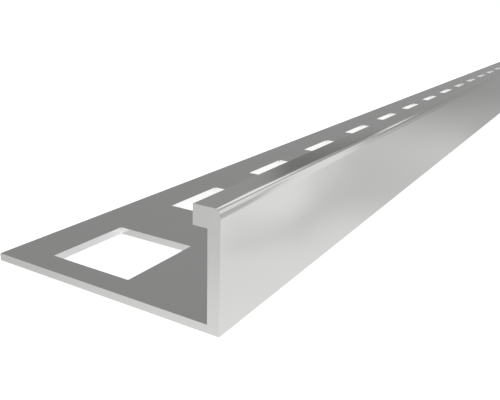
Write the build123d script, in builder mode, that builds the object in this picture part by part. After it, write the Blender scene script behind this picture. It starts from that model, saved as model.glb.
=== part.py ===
from build123d import *
import os

# Tile edge trim: one extruded aluminium bar with an L section, punched along its leg.
# The bar lies on its leg, with X along it, its visible face towards -Y and +Z up.
# The origin is at the middle of its length and width, on the underside of the leg.
# All sizes are in millimetres.

# Stock length, as sold
trim_length = 1000.0

# Section
trim_height = 12.5  # underside of the leg to the top of the lip
leg_width = 30.75  # visible face to the leg's free edge
leg_thickness = 0.9
wall_thickness = 1.4
lip_width = 3.0  # visible face to the edge of the lip that covers the tile's side
lip_thickness = 2.05
nose_reach = 0.7  # the visible outer corner at the top is eased: how far over the lip
nose_drop = 1.0  # and how far down the visible face
edge_round = 0.08  # every other outer corner of the section
root_round = 0.08  # the two inner corners, under the lip and on the leg

# Anchoring holes, one row of near squares punched through the leg
hole_length = 11.25  # along the bar
hole_width = 11.35  # across the leg
hole_corner = 0.1
hole_pitch = 22.0
first_hole_gap = 3.0  # near end of the bar to the first hole
last_hole_gap = 3.0  # the least metal left past the last hole
free_edge_strip = 5.65  # holes to the leg's free edge

# Places that follow from the sizes
near_end = -trim_length / 2
face_y = -leg_width / 2
free_edge_y = face_y + leg_width
wall_inside_y = face_y + wall_thickness
lip_edge_y = face_y + lip_width
lip_underside_z = trim_height - lip_thickness

# Corners of the section, from the foot of the visible face round to the lip, each with its round
section_corners = [
    ((face_y, 0), edge_round),
    ((free_edge_y, 0), edge_round),
    ((free_edge_y, leg_thickness), edge_round),
    ((wall_inside_y, leg_thickness), root_round),
    ((wall_inside_y, lip_underside_z), root_round),
    ((lip_edge_y, lip_underside_z), edge_round),
    ((lip_edge_y, trim_height), edge_round),
]

# The nose is a quarter of an ellipse, from the top of the lip to the visible face
nose_centre = (face_y + nose_reach, trim_height - nose_drop)
nose_start = (face_y + nose_reach, trim_height)
nose_end = (face_y, trim_height - nose_drop)

# Whole holes only: the row stops where the next one would reach the far end
punched_run = trim_length - first_hole_gap - last_hole_gap - hole_length
hole_count = int(punched_run // hole_pitch) + 1
first_hole_x = near_end + first_hole_gap + hole_length / 2
hole_row_y = free_edge_y - free_edge_strip - hole_width / 2
hole_centres = [(first_hole_x + number * hole_pitch, hole_row_y) for number in range(hole_count)]

with BuildPart() as edge_trim:
    # The extruded bar
    with BuildSketch(Plane.YZ.offset(near_end)) as section:
        with BuildLine() as outline:
            FilletPolyline(
                nose_end,
                *[corner for corner, corner_round in section_corners],
                nose_start,
                radius=[corner_round for corner, corner_round in section_corners],
            )
            EllipticalCenterArc(nose_centre, nose_reach, nose_drop, start_angle=90, arc_size=90)
        make_face()
    extrude(amount=trim_length)

    # The punched row
    with BuildSketch(Plane.XY) as punch:
        with Locations(*hole_centres):
            RectangleRounded(hole_length, hole_width, hole_corner)
    extrude(amount=leg_thickness, mode=Mode.SUBTRACT)

edge_trim.part.label = "edge_trim"

os.makedirs("parts", exist_ok=True)
export_step(edge_trim.part, "parts/edge_trim.step")
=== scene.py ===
"""Tile edge trim: the looks of one punched aluminium bar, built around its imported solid.

The bar is one extrusion with an L section, so it is one piece here too. Its long edges, sawn ends and
punched holes are modelled, and its faces are dressed by how each was made: polished, left satin, sawn or
punched.
Sizes in the dataclasses are in millimetres, or in metres where the name ends in _m. Places that come from
the frame are in metres, and so are the meshes.
"""

from __future__ import annotations

import logging
import math
from dataclasses import dataclass, field
from enum import Enum

import bmesh
import bpy
from mathutils import Matrix, Quaternion, Vector

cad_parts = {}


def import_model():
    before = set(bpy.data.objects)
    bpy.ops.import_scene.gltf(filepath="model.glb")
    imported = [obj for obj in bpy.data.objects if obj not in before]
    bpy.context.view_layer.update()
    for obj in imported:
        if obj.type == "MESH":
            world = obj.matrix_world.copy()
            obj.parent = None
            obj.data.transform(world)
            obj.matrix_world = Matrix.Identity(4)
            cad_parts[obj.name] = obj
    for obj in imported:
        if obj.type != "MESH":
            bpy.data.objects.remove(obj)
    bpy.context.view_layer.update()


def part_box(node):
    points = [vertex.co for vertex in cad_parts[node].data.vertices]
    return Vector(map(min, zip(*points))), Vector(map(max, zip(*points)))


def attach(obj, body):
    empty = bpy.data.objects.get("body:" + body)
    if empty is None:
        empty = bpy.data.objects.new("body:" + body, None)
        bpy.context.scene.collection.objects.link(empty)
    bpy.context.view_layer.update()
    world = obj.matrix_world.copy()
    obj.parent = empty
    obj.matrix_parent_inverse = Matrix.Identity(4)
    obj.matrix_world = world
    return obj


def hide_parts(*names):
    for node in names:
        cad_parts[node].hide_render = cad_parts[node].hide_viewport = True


LOG = logging.getLogger("tile_edge_trim")
MM = 0.001
TRIM_NODE = "edge_trim"
WHITE = (1.0, 1.0, 1.0, 1.0)

# Points nearer than this are taken to be in one place, and nearer than the next are welded, in metres.
SAME_PLACE = 1e-6
WELD_REACH = 1e-7
# A face points along an axis where more than this much of its normal does.
MOSTLY = 0.5


class Surface(Enum):
    """How a face of the bar was made, with the number of its material slot."""

    POLISHED = 0
    SATIN = 1
    SAWN = 2
    PUNCHED = 3


def linear_colour(sheet_colour: str) -> tuple[float, float, float, float]:
    """Turns an sRGB hex colour into the linear values that shaders take.

    Args:
        sheet_colour: Six hex digits after a hash, such as "#DDDDDA".

    Returns:
        Red, green and blue from 0 to 1, and an alpha of 1.
    """
    channels = [int(sheet_colour[start : start + 2], 16) / 255 for start in (1, 3, 5)]
    red, green, blue = (c / 12.92 if c <= 0.04045 else ((c + 0.055) / 1.055) ** 2.4 for c in channels)
    return red, green, blue, 1.0


def per_metre(size_mm: float) -> float:
    """Returns how often a pattern of this size in millimetres repeats in a metre."""
    return 1 / (size_mm * MM)


def add_node(tree: bpy.types.NodeTree, kind: str, inputs: dict | None = None, **settings) -> bpy.types.Node:
    """Adds a node with its settings, values and links.

    Args:
        tree: The node tree of a material or of the world.
        kind: The node's type, such as "ShaderNodeMath".
        inputs: Socket names or numbers, each with a plain value or another node's output socket.
        **settings: The node's own properties, such as operation.

    Returns:
        The new node.
    """
    node = tree.nodes.new(kind)
    for name, value in settings.items():
        setattr(node, name, value)
    for socket, value in (inputs or {}).items():
        if isinstance(value, bpy.types.NodeSocket):
            tree.links.new(value, node.inputs[socket])
        else:
            node.inputs[socket].default_value = value
    return node


def glowing_material(name: str, brightness: float, matt_colour: str | None = None) -> bpy.types.Material:
    """Makes an even white glow, over a matt colour where one is given.

    Args:
        name: The material's name.
        brightness: How brightly it glows, where 1 is white.
        matt_colour: The sRGB hex colour under the glow, which takes shadows.

    Returns:
        The material.
    """
    material = bpy.data.materials.new(name)
    material.use_nodes = True
    tree = material.node_tree
    tree.nodes.clear()
    surface = add_node(tree, "ShaderNodeEmission", {"Color": WHITE, "Strength": brightness})
    if matt_colour:
        matt = add_node(tree, "ShaderNodeBsdfDiffuse", {"Color": linear_colour(matt_colour)})
        surface = add_node(tree, "ShaderNodeAddShader", {0: matt.outputs[0], 1: surface.outputs[0]})
    add_node(tree, "ShaderNodeOutputMaterial", {"Surface": surface.outputs[0]})
    return material


@dataclass(frozen=True)
class MetalFinish:
    """One way that the bar's aluminium is finished, with lines or grain left by how it was made.

    The pattern is noise stretched along the direction in which the tool passed over the metal.
    """

    name: str
    colour: str
    roughness: float
    roughness_spread: float
    grain_mm: tuple[float, float, float]
    bump_strength: float
    bump_depth_mm: float
    tone_spread: float = 0.0
    noise_detail: float = 3.0
    noise_roughness: float = 0.55
    noise_low: float = 0.25
    noise_high: float = 0.75

    def build(self) -> bpy.types.Material:
        """Makes the material.

        Returns:
            A material whose grain follows Object coordinates.
        """
        material = bpy.data.materials.new(self.name)
        material.use_nodes = True
        tree = material.node_tree
        shader = tree.nodes["Principled BSDF"]
        shader.inputs["Metallic"].default_value = 1.0
        place = add_node(tree, "ShaderNodeTexCoord")
        stretch = add_node(
            tree,
            "ShaderNodeMapping",
            {"Vector": place.outputs["Object"], "Scale": [per_metre(size) for size in self.grain_mm]},
        )
        grain = add_node(
            tree,
            "ShaderNodeTexNoise",
            {
                "Vector": stretch.outputs["Vector"],
                "Scale": 1.0,
                "Detail": self.noise_detail,
                "Roughness": self.noise_roughness,
            },
        )
        rough = add_node(
            tree,
            "ShaderNodeMapRange",
            {
                "Value": grain.outputs["Fac"],
                "From Min": self.noise_low,
                "From Max": self.noise_high,
                "To Min": self.roughness - self.roughness_spread,
                "To Max": self.roughness + self.roughness_spread,
            },
        )
        tree.links.new(rough.outputs["Result"], shader.inputs["Roughness"])
        bright = linear_colour(self.colour)
        if self.tone_spread > 0:
            dark = [channel * (1 - self.tone_spread) for channel in bright[:3]] + [1.0]
            tone = add_node(
                tree,
                "ShaderNodeMix",
                {"Factor": grain.outputs["Fac"], "A": dark, "B": bright},
                data_type="RGBA",
            )
            tree.links.new(tone.outputs["Result"], shader.inputs["Base Color"])
        else:
            shader.inputs["Base Color"].default_value = bright
        relief = add_node(
            tree,
            "ShaderNodeBump",
            {
                "Height": grain.outputs["Fac"],
                "Strength": self.bump_strength,
                "Distance": self.bump_depth_mm * MM,
            },
        )
        tree.links.new(relief.outputs["Normal"], shader.inputs["Normal"])
        return material


# The lines of buffing, of the die, of the saw and of the punch are finer on the real bar, at a few
# hundredths of a millimetre. They are drawn as coarse as they need to be to show.

# Bright anodised aluminium, buffed along the bar: it mirrors the room with soft edges.
POLISHED_FACE = MetalFinish(
    name="bright_anodised_aluminium",
    colour="#D0D0CE",
    roughness=0.10,
    roughness_spread=0.015,
    grain_mm=(60.0, 0.25, 0.25),
    bump_strength=0.05,
    bump_depth_mm=0.002,
)
# The same aluminium as it leaves the die and the anodising bath: even grey, with fine lines along the bar.
SATIN_LEG = MetalFinish(
    name="satin_anodised_aluminium",
    colour="#D1D1D0",
    roughness=0.42,
    roughness_spread=0.03,
    grain_mm=(45.0, 0.35, 0.35),
    bump_strength=0.08,
    bump_depth_mm=0.004,
    tone_spread=0.03,
)
# Aluminium cut by a fine saw: bare, softly shining and light, with faint upright marks.
SAWN_END = MetalFinish(
    name="sawn_aluminium",
    colour="#E2E2E0",
    roughness=0.25,
    roughness_spread=0.03,
    grain_mm=(0.4, 0.15, 3.0),
    bump_strength=0.04,
    bump_depth_mm=0.003,
    tone_spread=0.015,
)
# Aluminium sheared by the punch: bare and bright, drawn from the top of the leg to its underside.
PUNCHED_WALL = MetalFinish(
    name="punched_aluminium",
    colour="#FBFBFA",
    roughness=0.16,
    roughness_spread=0.02,
    grain_mm=(0.18, 0.18, 1.2),
    bump_strength=0.03,
    bump_depth_mm=0.001,
    tone_spread=0.01,
)


@dataclass
class TrimBar:
    """The whole bar: leg, wall and lip in one extrusion, with its row of punched holes."""

    low: Vector
    high: Vector
    leg_thickness: float = 0.9
    wall_thickness: float = 1.4
    lip_width: float = 3.0
    lip_thickness: float = 2.05
    nose_reach: float = 0.7
    nose_drop: float = 1.0
    edge_round: float = 0.08
    root_round: float = 0.08
    hole_length: float = 11.25
    hole_width: float = 11.35
    hole_corner: float = 0.1
    hole_pitch: float = 22.0
    first_hole_gap: float = 3.0
    last_hole_gap: float = 3.0
    free_edge_strip: float = 5.65
    rim_round: float = 0.015
    end_break: float = 0.012
    nose_facets: int = 16
    round_facets: int = 4
    rim_facets: int = 2
    sharp_degrees: float = 35.0
    flat_weight: int = 100
    mesh: bmesh.types.BMesh = field(default_factory=bmesh.new)

    def __post_init__(self) -> None:
        """Works out the places that the bar's sizes give, in metres."""
        self.near_x, self.far_x = self.low.x, self.high.x
        self.face_y, self.free_y = self.low.y, self.high.y
        self.floor_z, self.top_z = self.low.z, self.high.z
        self.leg_z = self.floor_z + self.leg_thickness * MM
        self.lip_z = self.top_z - self.lip_thickness * MM
        self.wall_y = self.face_y + self.wall_thickness * MM
        self.lip_y = self.face_y + self.lip_width * MM
        self.hole_high_y = self.free_y - self.free_edge_strip * MM
        self.hole_low_y = self.hole_high_y - self.hole_width * MM

    def hole_spans(self) -> list[tuple[float, float]]:
        """Returns where each hole starts and ends along the bar."""
        gaps = self.first_hole_gap + self.last_hole_gap
        run = (self.far_x - self.near_x) / MM - gaps - self.hole_length
        count = int(run // self.hole_pitch) + 1
        first = self.near_x + self.first_hole_gap * MM
        starts = [first + number * self.hole_pitch * MM for number in range(count)]
        return [(start, start + self.hole_length * MM) for start in starts]

    def extrude_section(self) -> None:
        """Draws the section with sharp corners and extrudes it from hole edge to hole edge."""
        outline = [
            (self.face_y, self.floor_z),
            (self.hole_low_y, self.floor_z),
            (self.hole_high_y, self.floor_z),
            (self.free_y, self.floor_z),
            (self.free_y, self.leg_z),
            (self.hole_high_y, self.leg_z),
            (self.hole_low_y, self.leg_z),
            (self.wall_y, self.leg_z),
            (self.wall_y, self.lip_z),
            (self.lip_y, self.lip_z),
            (self.lip_y, self.top_z),
            (self.face_y, self.top_z),
        ]
        corners = [self.mesh.verts.new((self.near_x, y, z)) for y, z in outline]
        ring = [self.mesh.edges.new(pair) for pair in zip(corners, corners[1:] + corners[:1])]
        bmesh.ops.contextual_create(self.mesh, geom=ring)
        reached = self.near_x
        for station in [x for span in self.hole_spans() for x in span] + [self.far_x]:
            made = bmesh.ops.extrude_edge_only(self.mesh, edges=ring)["geom"]
            ring = [part for part in made if isinstance(part, bmesh.types.BMEdge) and part.is_boundary]
            moved = [part for part in made if isinstance(part, bmesh.types.BMVert)]
            bmesh.ops.translate(self.mesh, vec=(station - reached, 0, 0), verts=moved)
            reached = station
        bmesh.ops.contextual_create(self.mesh, geom=ring)
        bmesh.ops.recalc_face_normals(self.mesh, faces=self.mesh.faces)

    def punch_holes(self) -> None:
        """Opens the leg at each hole, walls it and rounds its four upright corners."""
        middle_y = (self.hole_low_y + self.hole_high_y) / 2
        half_leg = self.leg_thickness * MM / 2
        upright: list[bmesh.types.BMEdge] = []
        for start, end in self.hole_spans():
            middle = Vector(((start + end) / 2, middle_y))
            skins = [
                face
                for face in self.mesh.faces
                if abs(face.normal.z) > MOSTLY
                and (face.calc_center_median().xy - middle).length < self.hole_corner * MM
            ]
            rims = [edge for face in skins for edge in face.edges]
            bmesh.ops.delete(self.mesh, geom=skins, context="FACES_ONLY")
            walls = bmesh.ops.bridge_loops(self.mesh, edges=rims)["faces"]
            # A dict drops the doubles and keeps the order of the rest.
            sides = dict.fromkeys(edge for wall in walls for edge in wall.edges)
            upright += [edge for edge in sides if abs(edge.verts[0].co.z - edge.verts[1].co.z) > half_leg]
        self.round_off(upright, self.hole_corner, self.round_facets)

    def round_off(self, edges: list[bmesh.types.BMEdge], radius_mm: float, facets: int) -> None:
        """Rounds edges with a circular arc.

        Args:
            edges: The edges to round.
            radius_mm: The radius of the round.
            facets: How many facets the arc has.
        """
        bmesh.ops.bevel(
            self.mesh,
            geom=edges,
            offset=radius_mm * MM,
            offset_type="OFFSET",
            segments=facets,
            profile=0.5,
            affect="EDGES",
            material=-1,
            clamp_overlap=False,
        )

    def long_edges(self, y: float, z: float) -> list[bmesh.types.BMEdge]:
        """Returns the edges that run along the bar through one corner of the section."""
        corner = Vector((y, z))
        return [
            edge
            for edge in self.mesh.edges
            if all((vert.co.yz - corner).length < SAME_PLACE for vert in edge.verts)
        ]

    def ease_nose(self) -> None:
        """Eases the visible top corner: a round of the nose's reach, stretched down to its drop."""
        self.round_off(self.long_edges(self.face_y, self.top_z), self.nose_reach, self.nose_facets)
        reach = self.nose_reach * MM + SAME_PLACE
        inner_y, lower_z = self.face_y + reach, self.top_z - reach
        nose = [vert for vert in self.mesh.verts if vert.co.y < inner_y and vert.co.z > lower_z]
        bmesh.ops.scale(
            self.mesh,
            vec=(1, 1, self.nose_drop / self.nose_reach),
            space=Matrix.Translation((0, 0, -self.top_z)),
            verts=nose,
        )

    def round_section(self) -> None:
        """Gives the section its eased nose, and small rounds on its outer edges and at its roots."""
        self.ease_nose()
        outer = [
            (self.face_y, self.floor_z),
            (self.free_y, self.floor_z),
            (self.free_y, self.leg_z),
            (self.lip_y, self.lip_z),
            (self.lip_y, self.top_z),
        ]
        for y, z in outer:
            self.round_off(self.long_edges(y, z), self.edge_round, self.round_facets)
        for y, z in [(self.wall_y, self.leg_z), (self.wall_y, self.lip_z)]:
            self.round_off(self.long_edges(y, z), self.root_round, self.round_facets)

    def break_rims(self) -> None:
        """Takes the razor edge off the upper and lower rims of the holes."""
        spans = self.hole_spans()
        low_x, high_x = spans[0][0] - SAME_PLACE, spans[-1][1] + SAME_PLACE
        low_y, high_y = self.hole_low_y - SAME_PLACE, self.hole_high_y + SAME_PLACE

        def on_rim(edge: bmesh.types.BMEdge) -> bool:
            """Says whether an edge is on the rim of a hole, between the leg's skin and a wall."""
            points = [vert.co for vert in edge.verts]
            level = any(
                all(abs(point.z - z) < SAME_PLACE for point in points) for z in (self.floor_z, self.leg_z)
            )
            inside = all(low_x < point.x < high_x and low_y < point.y < high_y for point in points)
            skins = [abs(face.normal.z) > MOSTLY for face in edge.link_faces]
            return level and inside and sorted(skins) == [False, True]

        rims = [edge for edge in self.mesh.edges if on_rim(edge)]
        self.round_off(rims, self.rim_round, self.rim_facets)

    def break_ends(self) -> None:
        """Takes the razor edge off the outline of both sawn ends, with one facet."""
        for end_x in (self.near_x, self.far_x):
            outline = [
                edge
                for edge in self.mesh.edges
                if all(abs(vert.co.x - end_x) < SAME_PLACE for vert in edge.verts)
                and any(abs(face.normal.x) < MOSTLY for face in edge.link_faces)
            ]
            self.round_off(outline, self.end_break, 1)

    def surface_of(self, face: bmesh.types.BMFace) -> Surface:
        """Tells how a face was made from where it is and which way it points."""
        middle, normal = face.calc_center_median(), face.normal
        slack = self.rim_round * MM
        from_end = min(abs(middle.x - self.near_x), abs(middle.x - self.far_x))
        if abs(normal.x) > MOSTLY and from_end < slack:
            return Surface.SAWN
        over_row = self.hole_low_y - slack < middle.y < self.hole_high_y + slack
        if over_row and middle.z < self.leg_z + slack and abs(normal.z) < MOSTLY:
            return Surface.PUNCHED
        on_face = middle.y < self.face_y + slack
        on_lip = middle.z > self.lip_z - slack and middle.y < self.lip_y + slack
        if (on_face or on_lip) and normal.z > -MOSTLY:
            return Surface.POLISHED
        return Surface.SATIN

    def dress(self) -> None:
        """Marks each face with the surface that it has."""
        self.mesh.normal_update()
        for face in self.mesh.faces:
            face.smooth = True
            face.material_index = self.surface_of(face).value

    def build(self) -> bpy.types.Object:
        """Models the bar and gives it its materials.

        Returns:
            The bar's object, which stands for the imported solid.
        """
        self.extrude_section()
        self.punch_holes()
        self.round_section()
        self.break_rims()
        self.break_ends()
        bmesh.ops.remove_doubles(self.mesh, verts=self.mesh.verts, dist=WELD_REACH)
        bmesh.ops.recalc_face_normals(self.mesh, faces=self.mesh.faces)
        self.dress()
        data = bpy.data.meshes.new("edge_trim_bar")
        self.mesh.to_mesh(data)
        self.mesh.free()
        data.set_sharp_from_angle(angle=math.radians(self.sharp_degrees))
        for finish in (POLISHED_FACE, SATIN_LEG, SAWN_END, PUNCHED_WALL):
            data.materials.append(finish.build())
        bar = bpy.data.objects.new("edge_trim_bar", data)
        bpy.context.scene.collection.objects.link(bar)
        weighted = bar.modifiers.new("flat_faces_stay_flat", "WEIGHTED_NORMAL")
        weighted.mode = "FACE_AREA"
        weighted.weight = self.flat_weight
        weighted.keep_sharp = True
        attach(bar, "root")
        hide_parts(TRIM_NODE)
        return bar


@dataclass(frozen=True)
class SoftPanel:
    """A soft-edged panel of the room, as a turned rectangle in azimuth and elevation, in degrees.

    Azimuth is counted from +X towards +Y, edge is how wide the soft edge is, and brightness 1 is white.
    """

    azimuth: float
    elevation: float
    half_width: float
    half_height: float
    brightness: float
    turn: float = 0.0
    edge: float = 3.0


@dataclass(frozen=True)
class FloorBand:
    """A step in how bright the floor looks in the metal, complete at its lower elevation, in degrees."""

    upper: float
    lower: float
    brightness: float


@dataclass(frozen=True)
class WhiteCard:
    """A glowing card on the floor, with its span along the bar from the near end."""

    start_mm: float
    end_mm: float
    brightness: float


@dataclass
class Studio:
    """The pale floor, the soft room that the metal mirrors, the lamp and the camera.

    Places are counted from near_end, the outer bottom corner of the bar's near end, and card_band_mm runs
    across the bar. Angles are in degrees: heading from +X towards +Y, pitch upwards, and roll about the
    line of sight. In the room, each glow, band or panel lies in front of those listed before it.
    """

    near_end: Vector
    eye_mm: tuple[float, float, float] = (-40.131, -26.475, 29.320)
    heading: float = 30.477
    pitch: float = -18.298
    roll: float = 1.643
    focal_px: float = 594.4
    picture_px: float = 500.0
    sensor_mm: float = 36.0
    nearest_seen_mm: float = 1.0
    floor_side_m: float = 60.0
    floor_drop_mm: float = 0.05
    floor_colour: str = "#C8C8C8"
    floor_glow: float = 0.62
    lamp_place_m: tuple[float, float, float] = (0.3, 0.5, 1.4)
    lamp_size_m: tuple[float, float] = (1.6, 1.0)
    lamp_watts: float = 4.0
    cards: tuple[WhiteCard, ...] = (WhiteCard(22.0, 190.0, 1.02), WhiteCard(190.0, 1000.0, 0.76))
    card_band_mm: tuple[float, float] = (22.8, 25.6)
    card_gap_mm: float = 0.03
    room_grey: float = 0.375
    wall_glows: tuple[SoftPanel, ...] = (
        SoftPanel(-35.5, -12.0, 17.7, 22.0, 0.66, edge=9.0),
        SoftPanel(-18.5, 25.5, 6.0, 9.0, 0.59, edge=6.0),
    )
    floor_bands: tuple[FloorBand, ...] = (
        FloorBand(-6.5, -12.8, 0.735),
        FloorBand(-13.0, -15.0, 0.715),
        FloorBand(-16.5, -21.5, 0.96),
        FloorBand(-21.5, -25.0, 1.02),
        FloorBand(-26.0, -31.0, 1.07),
    )
    panels: tuple[SoftPanel, ...] = (
        # What the visible face, the nose and the top of the lip mirror.
        SoftPanel(-35.5, 19.5, 10.5, 10.0, 1.05, edge=4.0),
        SoftPanel(-28.5, -5.2, 5.0, 14.9, 1.06, edge=2.0),
        SoftPanel(-22.9, -12.5, 1.6, 5.5, 0.88, edge=2.5),
        SoftPanel(-23.9, 17.8, 5.3, 8.4, 1.1, turn=-4.0, edge=2.5),
        SoftPanel(-30.7, 11.4, 1.0, 8.2, 0.6, turn=-26.4, edge=2.0),
        SoftPanel(-23.4, -18.6, 3.9, 0.9, 0.72, turn=45.0, edge=2.5),
        SoftPanel(-28.5, -21.9, 4.5, 0.5, 0.84, turn=15.0, edge=2.0),
        SoftPanel(-12.2, 15.7, 3.6, 1.2, 1.35, turn=42.0, edge=1.8),
        SoftPanel(-5.2, 19.2, 4.0, 1.4, 0.9, turn=20.0, edge=1.5),
        SoftPanel(-12.0, 33.5, 5.0, 4.5, 0.68, edge=4.0),
        SoftPanel(4.0, 27.8, 15.0, 3.0, 0.56, edge=5.0),
        SoftPanel(10.0, 22.5, 9.5, 2.5, 0.31, edge=4.0),
        SoftPanel(15.5, 20.0, 3.5, 4.0, 0.27, edge=4.0),
        SoftPanel(22.4, 15.0, 5.6, 2.4, 0.2, edge=4.0),
        SoftPanel(-2.5, 34.4, 6.7, 5.1, 1.19),
        SoftPanel(9.0, 34.0, 8.3, 3.4, 1.34, turn=-4.0),
        SoftPanel(22.5, 26.5, 9.5, 1.6, 0.82, turn=-40.0),
        SoftPanel(29.5, 25.0, 6.0, 2.0, 0.3, turn=-50.0, edge=2.0),
        SoftPanel(38.0, 19.0, 8.0, 6.0, 0.4, edge=6.0),
        SoftPanel(-6.5, -10.2, 3.0, 1.6, 0.455, edge=5.0),
        SoftPanel(10.0, 6.8, 8.0, 4.5, 0.345),
        SoftPanel(-17.4, 8.3, 2.6, 4.0, 0.37, turn=-23.0, edge=2.5),
        SoftPanel(-24.5, 28.2, 2.8, 1.6, 0.93),
        SoftPanel(-18.3, 24.3, 1.7, 2.8, 0.74),
        SoftPanel(-8.0, 14.0, 4.5, 1.1, 0.3, turn=30.0, edge=1.5),
        # What the walls of the holes mirror, low in the room.
        SoftPanel(-38.0, -19.0, 5.0, 3.0, 1.08),
        SoftPanel(-50.0, -22.5, 7.0, 6.0, 0.63),
        SoftPanel(135.0, -21.0, 22.0, 5.0, 0.56, edge=5.0),
        SoftPanel(135.0, -32.0, 22.0, 4.5, 0.85, edge=5.0),
        SoftPanel(164.0, -11.0, 20.0, 7.5, 0.8),
        SoftPanel(-115.0, -21.0, 60.0, 5.0, 0.86, edge=5.0),
        SoftPanel(-115.0, -32.0, 60.0, 4.5, 0.95, edge=5.0),
        SoftPanel(45.0, -21.0, 38.0, 5.0, 0.6, edge=5.0),
        SoftPanel(45.0, -32.0, 38.0, 4.5, 0.85, edge=5.0),
    )

    def place_camera(self) -> None:
        """Puts the camera where the photograph was taken from."""
        lens = bpy.data.cameras.new("camera")
        lens.sensor_width = self.sensor_mm
        lens.lens = self.sensor_mm * self.focal_px / self.picture_px
        lens.clip_start = self.nearest_seen_mm * MM
        camera = bpy.data.objects.new("camera", lens)
        heading, pitch = math.radians(self.heading), math.radians(self.pitch)
        ahead = Vector(
            (math.cos(pitch) * math.cos(heading), math.cos(pitch) * math.sin(heading), math.sin(pitch))
        )
        level = ahead.to_track_quat("-Z", "Y")
        camera.rotation_mode = "QUATERNION"
        camera.rotation_quaternion = level @ Quaternion((0, 0, 1), math.radians(self.roll))
        camera.location = self.near_end + Vector(self.eye_mm) * MM
        bpy.context.scene.collection.objects.link(camera)
        bpy.context.scene.camera = camera

    def lay_sheet(
        self, name: str, material: bpy.types.Material, size: tuple[float, float], middle: Vector
    ) -> bpy.types.Object:
        """Lays a level sheet, which belongs to the studio and not to the bar.

        Args:
            name: The sheet's name.
            material: Its material.
            size: Its size along the bar and across it, in metres.
            middle: The place of its middle, in metres.

        Returns:
            The sheet's object.
        """
        mesh = bmesh.new()
        bmesh.ops.create_grid(mesh, x_segments=1, y_segments=1, size=0.5)
        bmesh.ops.scale(mesh, vec=(*size, 1), verts=mesh.verts)
        bmesh.ops.translate(mesh, vec=middle, verts=mesh.verts)
        data = bpy.data.meshes.new(name)
        mesh.to_mesh(data)
        mesh.free()
        data.materials.append(material)
        sheet = bpy.data.objects.new(name, data)
        bpy.context.scene.collection.objects.link(sheet)
        return sheet

    def lay_floor(self) -> None:
        """Lays the floor just under the bar, so bright that the bar's soft shadow stays near white."""
        material = glowing_material("pale_floor", self.floor_glow, self.floor_colour)
        middle = Vector((0, 0, self.near_end.z - self.floor_drop_mm * MM))
        floor = self.lay_sheet("floor", material, (self.floor_side_m, self.floor_side_m), middle)
        floor.visible_glossy = False

    def slide_card(self, white: WhiteCard) -> None:
        """Slides a white card under a run of holes, where only the metal sees it.

        Args:
            white: The card's span and brightness.
        """
        low_y, high_y = self.card_band_mm
        size = ((white.end_mm - white.start_mm) * MM, (high_y - low_y) * MM)
        middle = Vector(((white.start_mm + white.end_mm) / 2, (low_y + high_y) / 2, -self.card_gap_mm)) * MM
        material = glowing_material("white_card", white.brightness)
        card = self.lay_sheet("white_card", material, size, self.near_end + middle)
        card.visible_camera = card.visible_diffuse = card.visible_shadow = False

    def light_room(self) -> None:
        """Surrounds the bar with a white room, which the metal mirrors as grey with bands and panels."""
        world = bpy.data.worlds.new("studio_room")
        bpy.context.scene.world = world
        world.use_nodes = True
        world.cycles.sampling_method = "NONE"
        tree = world.node_tree
        tree.nodes.clear()
        place = add_node(tree, "ShaderNodeTexCoord")
        split = add_node(tree, "ShaderNodeSeparateXYZ", {"Vector": place.outputs["Generated"]})
        azimuth = add_node(
            tree, "ShaderNodeMath", {0: split.outputs["Y"], 1: split.outputs["X"]}, operation="ARCTAN2"
        )
        elevation = add_node(tree, "ShaderNodeMath", {0: split.outputs["Z"]}, operation="ARCSINE")
        seen: bpy.types.NodeSocket | float = self.room_grey
        for panel in self.wall_glows:
            seen = self.hang_panel(tree, panel, azimuth.outputs[0], elevation.outputs[0], seen)
        for band in self.floor_bands:
            seen = self.lay_band(tree, band, elevation.outputs[0], seen)
        for panel in self.panels:
            seen = self.hang_panel(tree, panel, azimuth.outputs[0], elevation.outputs[0], seen)
        mirrored = add_node(tree, "ShaderNodeCombineColor", {"Red": seen, "Green": seen, "Blue": seen})
        path = add_node(tree, "ShaderNodeLightPath")
        room = add_node(
            tree,
            "ShaderNodeMix",
            {"Factor": path.outputs["Is Glossy Ray"], "A": WHITE, "B": mirrored.outputs[0]},
            data_type="RGBA",
        )
        glow = add_node(tree, "ShaderNodeBackground", {"Color": room.outputs["Result"], "Strength": 1.0})
        add_node(tree, "ShaderNodeOutputWorld", {"Surface": glow.outputs[0]})

    def lay_band(
        self,
        tree: bpy.types.NodeTree,
        band: FloorBand,
        elevation: bpy.types.NodeSocket,
        behind: bpy.types.NodeSocket | float,
    ) -> bpy.types.NodeSocket:
        """Fades what the room shows to one band of the floor, from its upper elevation down.

        Args:
            tree: The world's node tree.
            band: The band.
            elevation: The direction's elevation, in radians.
            behind: The brightness above the band.

        Returns:
            The brightness with the band below.
        """
        share = add_node(
            tree,
            "ShaderNodeMapRange",
            {
                "Value": elevation,
                "From Min": math.radians(band.upper),
                "From Max": math.radians(band.lower),
                "To Min": 0.0,
                "To Max": 1.0,
            },
            interpolation_type="SMOOTHSTEP",
        )
        return add_node(
            tree, "ShaderNodeMix", {"Factor": share.outputs[0], "A": behind, "B": band.brightness}
        ).outputs["Result"]

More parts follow.
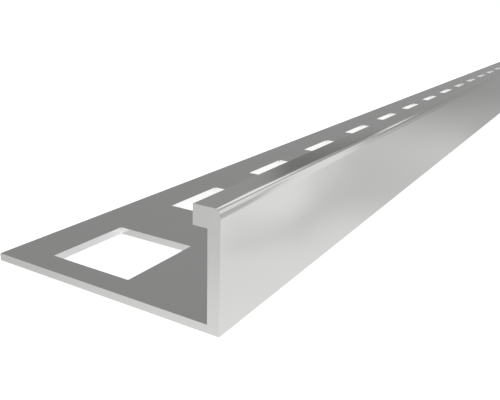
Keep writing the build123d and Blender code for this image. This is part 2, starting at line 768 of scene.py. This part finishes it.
    def hang_panel(
        self,
        tree: bpy.types.NodeTree,
        panel: SoftPanel,
        azimuth: bpy.types.NodeSocket,
        elevation: bpy.types.NodeSocket,
        behind: bpy.types.NodeSocket | float,
    ) -> bpy.types.NodeSocket:
        """Lays one panel over what the room shows behind it.

        Args:
            tree: The world's node tree.
            panel: The panel.
            azimuth: The direction's azimuth, in radians.
            elevation: The direction's elevation, in radians.
            behind: The brightness behind the panel.

        Returns:
            The brightness with the panel in front.
        """
        turn = math.radians(panel.turn)
        aside = add_node(
            tree, "ShaderNodeMath", {0: azimuth, 1: math.radians(panel.azimuth)}, operation="SUBTRACT"
        )
        wrapped = add_node(
            tree, "ShaderNodeMath", {0: aside.outputs[0], 1: math.pi, 2: -math.pi}, operation="WRAP"
        )
        above = add_node(
            tree, "ShaderNodeMath", {0: elevation, 1: math.radians(panel.elevation)}, operation="SUBTRACT"
        )
        offset = add_node(tree, "ShaderNodeCombineXYZ", {"X": wrapped.outputs[0], "Y": above.outputs[0]})
        shares = []
        for axis, half in (
            ((math.cos(turn), math.sin(turn), 0), panel.half_width),
            ((-math.sin(turn), math.cos(turn), 0), panel.half_height),
        ):
            along = add_node(
                tree, "ShaderNodeVectorMath", {0: offset.outputs[0], 1: axis}, operation="DOT_PRODUCT"
            )
            away = add_node(tree, "ShaderNodeMath", {0: along.outputs["Value"]}, operation="ABSOLUTE")
            shares.append(
                add_node(
                    tree,
                    "ShaderNodeMapRange",
                    {
                        "Value": away.outputs[0],
                        "From Min": math.radians(half + panel.edge / 2),
                        "From Max": math.radians(half - panel.edge / 2),
                        "To Min": 0.0,
                        "To Max": 1.0,
                    },
                    interpolation_type="SMOOTHSTEP",
                ).outputs[0]
            )
        share = add_node(tree, "ShaderNodeMath", {0: shares[0], 1: shares[1]}, operation="MULTIPLY")
        return add_node(
            tree, "ShaderNodeMix", {"Factor": share.outputs[0], "A": behind, "B": panel.brightness}
        ).outputs["Result"]

    def hang_lamp(self) -> None:
        """Hangs one broad lamp over the bar, which gives the floor a soft shadow."""
        light = bpy.data.lights.new("overhead_lamp", "AREA")
        light.shape = "RECTANGLE"
        light.size, light.size_y = self.lamp_size_m
        light.energy = self.lamp_watts
        lamp = bpy.data.objects.new("overhead_lamp", light)
        lamp.location = self.near_end + Vector(self.lamp_place_m)
        lamp.rotation_mode = "QUATERNION"
        lamp.rotation_quaternion = (self.near_end - lamp.location).to_track_quat("-Z", "Y")
        lamp.visible_glossy = False
        bpy.context.scene.collection.objects.link(lamp)

    def build(self) -> None:
        """Sets up everything round the bar."""
        self.place_camera()
        self.lay_floor()
        for white in self.cards:
            self.slide_card(white)
        self.light_room()
        self.hang_lamp()


def main() -> None:
    """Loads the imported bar, models and dresses it, and sets it in its studio."""
    logging.basicConfig(level=logging.INFO, format="%(name)s: %(message)s")
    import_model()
    low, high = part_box(TRIM_NODE)
    bar = TrimBar(low, high).build()
    LOG.info("%s: %d faces", bar.name, len(bar.data.polygons))
    Studio(low).build()
    bpy.context.scene.view_settings.view_transform = "Standard"


if __name__ == "__main__":
    main()
